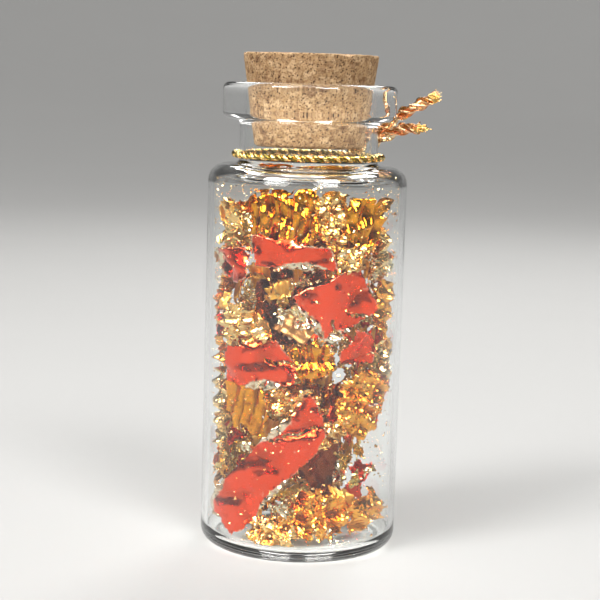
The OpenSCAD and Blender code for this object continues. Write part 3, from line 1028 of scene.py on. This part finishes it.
def leaf_sheet(name, kind, look, rng):
    """A torn, crumpled sheet in a CAD leaf's place: points, faces, where it is rough, and the painted
    shade in its creases.
    """
    grid = LeafGrid(name, look.grid)
    flat = name in SHEETS
    inside, main = grid.inside, grid.level()
    if flat:
        cut_rng = np.random.default_rng(inside.shape[0] * 7 + inside.shape[1])
        inside = cut_outline(grid.u, grid.v, inside, cut_rng)
    depth = np.zeros(inside.shape)
    layer = inside
    for _ in range(EDGE_LAYERS):
        layer = shrink(layer)
        depth += layer
    kept = torn(grid, inside, depth, 1 if flat else 2, rng)
    u = grid.u + rng.uniform(-JITTER, JITTER, inside.shape) * look.grid
    v = grid.v + rng.uniform(-JITTER, JITTER, inside.shape) * look.grid
    rise = creased(u, v, CREASES["sheet" if flat else kind], rng, main)
    hem = HEM + HEM_SPREAD * np.clip(sines(grid.u, grid.v, 2.6, 3.1, rng), 0, 1)
    rough = np.clip((hem - depth) / HEM_FADE, 0, 1) if flat else np.ones(inside.shape)
    if flat:
        rise = rise + rough * creased(u, v, CREASES["border"], rng, main)
    border = np.clip(1 - depth / BORDER, 0, 1)
    lift = np.sin(grid.u / (2.1 * MM) + grid.v / (1.7 * MM) + rng.uniform(0, 6))
    followed = grid.slope_u * (u - grid.u) + grid.slope_v * (v - grid.v)
    height = grid.height + (followed + rise + CURL * border ** 2 * lift)
    faces = grid_faces(kept, with_corners=True)
    fold = crease_shading(rise, 0.4 if flat else 1.0)
    return grid.placed(u, v, height)[kept], faces, rough[kept], fold[kept]


def rolled_leaf(name):
    """A rolled strip, from the CAD leaf itself: points, faces, where it is rough, and painted shade in
    patches.
    """
    build = bmesh.new()
    build.from_mesh(frame["nodes"][name].data)
    bmesh.ops.triangulate(build, faces=build.faces)
    for _ in range(5):
        long_edges = [e for e in build.edges if e.calc_length() > ROLL_EDGE]
        if not long_edges:
            break
        bmesh.ops.subdivide_edges(build, edges=long_edges, cuts=1)
        bmesh.ops.triangulate(build, faces=build.faces)
    points = np.array([v.co for v in build.verts])
    faces = [tuple(v.index for v in f.verts) for f in build.faces]
    build.free()
    shift = np.array([noise.noise_vector(Vector(p) / (0.8 * MM)) for p in points])
    # painted shade in patches, from the same noise that roughens the strip
    fold = np.clip(-2 * shift[:, 0], 0, 2)
    return points + shift * ROLL_ROUGH, faces, np.full(len(points), 0.5), fold


def stay_inside(points):
    """Presses leaf that would pass through the glass flat against it."""
    r = np.hypot(points[:, 0], points[:, 1])
    over = np.minimum(1, LEAF_REACH / np.maximum(r, 1e-9))
    points[:, :2] *= over[:, None]
    points[:, 2] = np.maximum(points[:, 2], LEAF_FLOOR)
    return points


def darker(shade, share):
    """A shade with less light in it, its red kept the longest."""
    return (shade[0] * share, shade[1] * share ** 1.5, shade[2] * share ** 2)


def leaf_finish(name, dark, main, bright, smooth=None):
    """Beaten metal leaf, with painted shade and painted highlights in random spots and painted shade in
    its creases. smooth is the painted colour where a sheet isn't creased: a red reflection, on the
    bronze sheets a shaded bronze.
    """
    finish = Finish(name)
    # painted shade and painted highlights: random spots darkened to the dark colour and lightened to
    # the bright one, round the leaf's own colour
    shade = finish.ramp(
        finish.grain(1.6 * MM, 4, 0.6), (0.30, dark), (0.48, main), (0.60, main), (0.76, bright),
    )
    if smooth:
        # painted reflection, not wear: where a sheet isn't creased it takes the red reflection colour,
        # on the bronze sheets a shaded bronze, mottled darker in places
        worn = finish.ramp(
            finish.grain(2.2 * MM, 6, 0.66),
            (0.28, darker(smooth, 0.8)), (0.40, smooth), (0.64, smooth), (0.78, main),
        )
        shade = finish.mix(finish.between(finish.stored("rough"), 0.15, 0.75, 0, 1), worn, shade)
    # painted shade: creases darkened towards a deep copy of the dark colour
    deep = finish.between(finish.stored("fold"), 0.15, 1.5, 0, 0.8)
    finish.feed("Base Color", finish.mix(deep, shade, darker(dark, 0.4)))
    finish.feed("Roughness", finish.between(finish.grain(0.5 * MM, 3), 0.3, 0.7, 0.04, LEAF_DULL))
    finish.set(Metallic=1.0)
    finish.bump(finish.grain(0.45 * MM, 2, 0.5), 0.25, 0.05 * MM)
    return finish.material


class CrumpleLeaf(bpy.types.Operator):
    """Tears and crumples every piece of gold leaf in its place in the vial"""

    bl_idname = "gold_vial.crumple_leaf"
    bl_label = "Crumple Leaf"

    def finishes(self, look):
        """The material of each kind of leaf and of the smooth sheets."""
        # near-white painted highlight of the pale leaf
        pale_highlight = (1.0, 0.95, 0.80)
        # the rough hem's pale gold, and a painted highlight for it
        hem, hem_highlight = (0.95, 0.84, 0.60), (1.0, 0.96, 0.86)
        # for each kind: its painted shade, its own colour and its painted highlight
        shades = {
            "leaf_pale": (look.gold, look.pale, pale_highlight),
            "leaf_gold": (look.amber, look.gold, look.pale),
            "leaf_amber": (darker(look.amber, 0.6), look.amber, look.gold),
            "leaf_bronze": (darker(look.bronze, 0.5), look.bronze, look.amber),
        }
        made = {kind: leaf_finish(kind, *three) for kind, three in shades.items()}
        for kind, (dark, _, _) in shades.items():
            name = kind + "_sheet"
            # flat of the sheets: painted red reflection, and on the bronze sheets a painted shaded copy
            # of bronze
            smooth = darker(look.bronze, 0.65) if kind == "leaf_bronze" else tuple(look.sheet)
            made[name] = leaf_finish(name, darker(dark, 0.5), hem, hem_highlight, smooth)
        return made

    def execute(self, context):
        look = context.scene.gold_vial_leaf
        finishes = self.finishes(look)
        for number, name in enumerate(sorted(n for n in frame["nodes"] if n.startswith("leaf_"))):
            kind = LEAF_KINDS[name]
            if name in ROLLED:
                points, faces, rough, fold = rolled_leaf(name)
            else:
                rng = np.random.default_rng(100 + number)
                points, faces, rough, fold = leaf_sheet(name, kind, look, rng)
            material = finishes[kind + "_sheet" if name in SHEETS else kind]
            soft_creases = kind in SOFT_KINDS or name in SHEETS
            made = new_object(name + "_torn", stay_inside(points), faces, material, soft_creases)
            add_attribute(made, "rough", rough)
            add_attribute(made, "fold", fold)
            if name not in ROLLED:
                thicken(made, look.thickness)
            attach(made, "vial")
            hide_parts(name)
        return {"FINISHED"}


# ---- loose flakes ----

FLAKE_REACH = 13.85 * MM           # where a flake sticks to the glass
BIGGEST_FLAKE = 1.5 * MM
BARE_SIDE = (-75, -12)             # bearings with little leaf near the floor, from +X
BARE_HEIGHTS = (8.5 * MM, 19 * MM)
BARE_CHANCE = 0.85                 # of leaving a flake out there
# Flakes up to these shares are on the glass, by the shoulder and in the leaf, the rest on the floor
ON_GLASS, BY_SHOULDER, IN_LEAF = 0.28, 0.46, 0.94


def outward_axes(bearing, lean, rng):
    """Directions out, sideways and up at a bearing in the vial, the first leaning a little."""
    out = np.array((math.cos(bearing), math.sin(bearing), 0)) + rng.normal(0, lean, 3)
    out /= np.linalg.norm(out)
    across = np.cross((0, 0, 1.0), out)
    across /= np.linalg.norm(across)
    return out, across, np.cross(out, across)


def flake_places(count, rng):
    """Places of the loose flakes: on the glass, in the leaf and on the floor of the vial."""
    places = []
    while len(places) < count:
        pick = rng.uniform()
        bearing = rng.uniform(-180, 180)
        if pick < ON_GLASS:
            r, z = FLAKE_REACH, rng.uniform(3, 54.5) * MM
        elif pick < BY_SHOULDER:
            r, z = FLAKE_REACH, rng.triangular(47, 55, 56.4) * MM
        elif pick < IN_LEAF:
            r, z = rng.uniform(9.5, 13.7) * MM, rng.uniform(2.4, 51) * MM
        else:
            r, z = 12.5 * MM * math.sqrt(rng.uniform()), LEAF_FLOOR + 0.15 * MM
        bare = BARE_SIDE[0] < bearing < BARE_SIDE[1] and BARE_HEIGHTS[0] < z < BARE_HEIGHTS[1]
        if bare and rng.uniform() < BARE_CHANCE:
            continue
        places.append((math.radians(bearing), r, z, r >= FLAKE_REACH))
    return places


def flake(bearing, r, z, stuck, rng):
    """Points and faces of one torn flake. A stuck one lies against the glass."""
    size = min(rng.lognormal(-0.95, 0.5) * MM * (0.8 if stuck else 1.0), BIGGEST_FLAKE)
    corners = rng.integers(5, 9)
    out, across, up = outward_axes(bearing, 0.2 if stuck else 0.5, rng)
    turns = np.sort(rng.uniform(0, 2 * math.pi, corners))
    stretch = rng.uniform(0.5, 1)
    bumpy = 0.12 if stuck else 0.18
    points = [out * rng.normal(0, 0.12) * size]
    for share in (0.5, 1.0):
        for turn in turns:
            reach = size / 2 * share * rng.uniform(0.7, 1.1)
            flat = across * math.cos(turn) * reach + up * math.sin(turn) * reach * stretch
            points.append(flat + out * (rng.normal(0, bumpy) * size))
    faces = []
    for k in range(corners):
        n = (k + 1) % corners
        faces.append((0, 1 + k, 1 + n))
        faces.append((1 + k, 1 + corners + k, 1 + corners + n))
        faces.append((1 + k, 1 + corners + n, 1 + n))
    middle = np.array((math.cos(bearing) * r, math.sin(bearing) * r, z))
    return middle + np.array(points), faces


# ---- small sheets ----

FILLER_SHARES = {
    "leaf_amber": 0.27, "leaf_gold": 0.31, "leaf_pale": 0.27, "leaf_bronze": 0.05,
    "leaf_gold_sheet": 0.10,
}
FILLER_SIZES = (3.2, 7.0)          # mm
FILLER_HEIGHTS = (4.0, 51.0)       # mm
FRONT_RADII = (3.5, 10.5)          # mm, behind the big pieces in front
BACK_RADII = (6.0, 13.0)           # mm
COARSER = 1.25                     # a small sheet's grid over a big one's


def small_sheet(bearing, r, z, size, kind, look, rng):
    """One small crumpled sheet, facing roughly outward: points, faces and the painted shade in its
    creases.
    """
    out, across, up = outward_axes(bearing, 0.32, rng)
    spin = rng.uniform(0, math.pi)
    along = across * math.cos(spin) + up * math.sin(spin)
    beside = np.cross(out, along)
    pitch = look.grid * COARSER
    half = np.arange(-size / 2, size / 2 + pitch, pitch)
    u, v = np.meshgrid(half, half * rng.uniform(0.55, 0.9), indexing="ij")
    turn = np.arctan2(v, u)
    edge = 1 + 0.16 * np.sin(3 * turn + rng.uniform(0, 6)) + 0.10 * np.sin(7 * turn + rng.uniform(0, 6))
    squarish = (np.abs(u / (size / 2)) ** 3 + np.abs(v / (v.max() + 1e-9)) ** 3) ** (1 / 3)
    kept = squarish < 0.86 * edge + rng.uniform(-0.07, 0.07, u.shape)
    u = u + rng.uniform(-0.3, 0.3, u.shape) * pitch
    v = v + rng.uniform(-0.3, 0.3, u.shape) * pitch
    rise = creased(u, v, CREASES["sheet" if kind.endswith("sheet") else kind], rng, -spin)
    height = rise - rng.uniform(0.02, 0.09) / MM * (u * u + v * v * rng.uniform(0, 1))
    middle = np.array((math.cos(bearing) * r, math.sin(bearing) * r, z))
    where = middle + u[..., None] * along + v[..., None] * beside + height[..., None] * out
    return where[kept], grid_faces(kept), crease_shading(rise)[kept]


class FillWithLeaf(bpy.types.Operator):
    """Fills the vial behind and between the big pieces with small crumpled sheets"""

    bl_idname = "gold_vial.fill_with_leaf"
    bl_label = "Fill with Leaf"

    def execute(self, context):
        look = context.scene.gold_vial_leaf
        rng = np.random.default_rng(21)
        parts = {kind: [] for kind in FILLER_SHARES}
        placed = 0
        while placed < look.fillers:
            bearing = rng.uniform(-180, 180)
            r = rng.uniform(*(FRONT_RADII if -150 < bearing < -30 else BACK_RADII)) * MM
            z = rng.uniform(*FILLER_HEIGHTS) * MM
            bare = BARE_SIDE[0] - 10 < bearing < BARE_SIDE[1] + 15
            if bare and BARE_HEIGHTS[0] < z < BARE_HEIGHTS[1]:
                continue
            kind = rng.choice(list(FILLER_SHARES), p=list(FILLER_SHARES.values()))
            size = rng.uniform(*FILLER_SIZES) * MM
            parts[kind].append(small_sheet(math.radians(bearing), r, z, size, kind, look, rng))
            placed += 1
        for kind, pieces in parts.items():
            points, faces = join([piece[:2] for piece in pieces])
            name = kind.replace("leaf", "small_leaf")
            material = bpy.data.materials[kind]
            made = new_object(name, stay_inside(points), faces, material, kind in SOFT_KINDS)
            add_attribute(made, "fold", np.concatenate([piece[2] for piece in pieces]))
            thicken(made, look.thickness)
            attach(made, "vial")
        return {"FINISHED"}


class ScatterFlakes(bpy.types.Operator):
    """Scatters loose flakes of leaf through the vial and over the inside of the glass"""

    bl_idname = "gold_vial.scatter_flakes"
    bl_label = "Scatter Flakes"

    def execute(self, context):
        look = context.scene.gold_vial_leaf
        rng = np.random.default_rng(7)
        points, faces = join([flake(*place, rng) for place in flake_places(look.flakes, rng)])
        # painted shade in gold and a near-white painted highlight round the flakes' pale gold
        material = leaf_finish("loose_leaf", look.gold, (1.0, 0.84, 0.52), (1.0, 0.96, 0.84))
        made = new_object("loose_flakes", stay_inside(points), faces, material, False)
        thicken(made, look.thickness)
        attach(made, "vial")
        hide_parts("gold_specks")
        return {"FINISHED"}


# ---- stage ----


def floor_finish(shade):
    """Matt paper with a faint mottle."""
    finish = Finish("stage_paper")
    low = tuple(part * 0.97 for part in shade)
    finish.feed("Base Color", finish.mix(finish.grain(0.05, 3), low, tuple(shade)))
    finish.set(Roughness=0.85, Specular_IOR_Level=0.2)
    return finish.material


def count_once(tree, emission, strength):
    """Leaves out light that a matt surface gets back through glass, whose shadow lets it in already."""
    rays = tree.nodes.new("ShaderNodeLightPath")
    seen = tree.nodes.new("ShaderNodeMath")
    seen.operation = "MULTIPLY"
    tree.links.new(rays.outputs["Is Transmission Ray"], seen.inputs[0])
    tree.links.new(rays.outputs["Diffuse Depth"], seen.inputs[1])
    level = tree.nodes.new("ShaderNodeMapRange")
    level.inputs["To Min"].default_value = strength
    level.inputs["To Max"].default_value = 0
    tree.links.new(seen.outputs[0], level.inputs["Value"])
    tree.links.new(level.outputs[0], emission)


def hang(made, bearing, elevation, distance):
    """Turns a light or card to the vial. The bearing is from the front, to the right."""
    turn, rise = math.radians(bearing), math.radians(elevation)
    back = Vector((math.sin(turn) * math.cos(rise), -math.cos(turn) * math.cos(rise), math.sin(rise)))
    made.location = Vector((0, 0, 0.04)) + back * distance
    made.rotation_euler = back.to_track_quat("Z", "Y").to_euler()


class SetStage(bpy.types.Operator):
    """Lays the pale floor and sets the soft studio light round it"""

    bl_idname = "gold_vial.set_stage"
    bl_label = "Set Stage"

    floor_r = 0.6                  # flat part, round which the floor sweeps up
    sweep_r = 1.4
    sweep_run = 0.85
    softbox_away, softbox_size = 0.60, 0.17
    card_away, card_glow = 0.62, (1, 0.98, 0.95, 1)
    overhead_from, overhead_spread = (-0.25, -0.35, 1), math.radians(50)
    # Bearing and elevation of each softbox, and its power in the settings
    softboxes = {
        "left_softbox": (-50, 45, "key_power"),
        "right_softbox": (31, 45, "fill_power"),
        "back_softbox": (158, 48, "back_power"),
    }
    # Bearing, elevation, width, height and strength of each card
    cards = {
        "left_card": (-42, 44, 0.26, 0.28, 14.0),
        "right_card": (27, 44, 0.26, 0.28, 14.0),
        "back_left_card": (-169, 40, 0.13, 0.30, 13.0),
        "back_right_card": (170, 40, 0.13, 0.30, 13.0),
    }
    # Height in the sky, from the horizon up, and brightness there
    sky = ((0.0, 0.50), (0.14, 0.42), (0.24, 0.10), (0.70, 0.05), (1.0, 0.20))

    def add_floor(self, shade):
        """A round pale floor that sweeps up all round."""
        rise = math.degrees(math.asin(self.sweep_run / self.sweep_r))
        outline = [(0, 0)] + arc(self.floor_r, self.sweep_r, self.sweep_r, -90, rise - 90, 24)
        outline.append((0, outline[-1][1]))
        points, faces = lathe(outline, 128)
        shell = [face for face in faces if len(points) - 1 not in face]
        new_object("stage_floor", points, shell, floor_finish(shade))

    def add_softbox(self, name, bearing, elevation, power):
        """A square soft light that points at the vial."""
        light = bpy.data.lights.new(name, "AREA")
        light.energy = power
        light.size = self.softbox_size
        light.use_nodes = True
        count_once(light.node_tree, light.node_tree.nodes["Emission"].inputs["Strength"], 1.0)
        lamp = bpy.data.objects.new(name, light)
        hang(lamp, bearing, elevation, self.softbox_away)
        bpy.context.scene.collection.objects.link(lamp)

    def add_card(self, name, bearing, elevation, width, height, strength):
        """A bright card by a softbox, which shows only in the gloss of glass and metal."""
        x, y = width / 2, height / 2
        finish = Finish(name)
        finish.set(Base_Color=(0, 0, 0, 1), Emission_Color=self.card_glow)
        count_once(finish.tree, finish.shader.inputs["Emission Strength"], strength)
        corners = [(-x, -y, 0), (x, -y, 0), (x, y, 0), (-x, y, 0)]
        card = new_object(name, corners, [(0, 1, 2, 3)], finish.material, False)
        hang(card, bearing, elevation, self.card_away)
        card.visible_camera = card.visible_diffuse = card.visible_shadow = False

    def add_overhead(self, strength):
        """A broad soft light from above."""
        light = bpy.data.lights.new("overhead_light", "SUN")
        light.energy = strength
        light.angle = self.overhead_spread
        lamp = bpy.data.objects.new("overhead_light", light)
        lamp.rotation_euler = Vector(self.overhead_from).to_track_quat("Z", "Y").to_euler()
        bpy.context.scene.collection.objects.link(lamp)

    def studio(self):
        """The studio round the stage: pale low down, dim above."""
        world = bpy.data.worlds.new("studio")
        world.use_nodes = True
        tree = world.node_tree
        direction = tree.nodes.new("ShaderNodeTexCoord")
        split = tree.nodes.new("ShaderNodeSeparateXYZ")
        tree.links.new(direction.outputs["Generated"], split.inputs[0])
        ramp = tree.nodes.new("ShaderNodeValToRGB")
        tree.links.new(split.outputs["Z"], ramp.inputs["Fac"])
        set_stops(ramp, [(place, (level, level * 0.99, level * 0.97)) for place, level in self.sky])
        tree.links.new(ramp.outputs["Color"], tree.nodes["Background"].inputs["Color"])
        return world

    def execute(self, context):
        look = context.scene.gold_vial_stage
        self.add_floor(look.floor)
        for name, (bearing, elevation, power) in self.softboxes.items():
            self.add_softbox(name, bearing, elevation, getattr(look, power))
        for name, card in self.cards.items():
            self.add_card(name, *card)
        self.add_overhead(look.overhead)
        context.scene.world = self.studio()
        context.scene.view_settings.view_transform = "Standard"
        return {"FINISHED"}


# ---- add-on ----

GROUPS = {
    "gold_vial_glass": GlassSizes,
    "gold_vial_cork": CorkLook,
    "gold_vial_cord": CordSizes,
    "gold_vial_leaf": LeafLook,
    "gold_vial_stage": StageLook,
}
OPERATORS = (
    PlaceCamera, TwistNeckCord, BlowGlass, CutCork, CrumpleLeaf, FillWithLeaf, ScatterFlakes,
    SetStage,
)


class GoldVialPanel(bpy.types.Panel):
    """Lists the vial's pieces and what can be changed on them"""

    bl_idname = "VIEW3D_PT_gold_vial"
    bl_label = "Gold Vial"
    bl_space_type = "VIEW_3D"
    bl_region_type = "UI"
    bl_category = "Gold Vial"

    def draw(self, context):
        for operator in OPERATORS:
            self.layout.operator(operator.bl_idname)
        for name, group in GROUPS.items():
            box = self.layout.box()
            for setting in group.__annotations__:
                box.prop(getattr(context.scene, name), setting)


def register():
    for group in GROUPS.values():
        bpy.utils.register_class(group)
    for name, group in GROUPS.items():
        setattr(bpy.types.Scene, name, PointerProperty(type=group))
    for operator in OPERATORS:
        bpy.utils.register_class(operator)
    bpy.utils.register_class(GoldVialPanel)


def unregister():
    bpy.utils.unregister_class(GoldVialPanel)
    for operator in reversed(OPERATORS):
        bpy.utils.unregister_class(operator)
    for name in GROUPS:
        delattr(bpy.types.Scene, name)
    for group in reversed(GROUPS.values()):
        bpy.utils.unregister_class(group)


def main():
    register()
    bpy.ops.gold_vial.place_camera()
    bpy.ops.gold_vial.twist_neck_cord()
    bpy.ops.gold_vial.blow_glass()
    bpy.ops.gold_vial.cut_cork()
    bpy.ops.gold_vial.crumple_leaf()
    bpy.ops.gold_vial.fill_with_leaf()
    bpy.ops.gold_vial.scatter_flakes()
    bpy.ops.gold_vial.set_stage()
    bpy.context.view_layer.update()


if __name__ == "__main__":
    main()
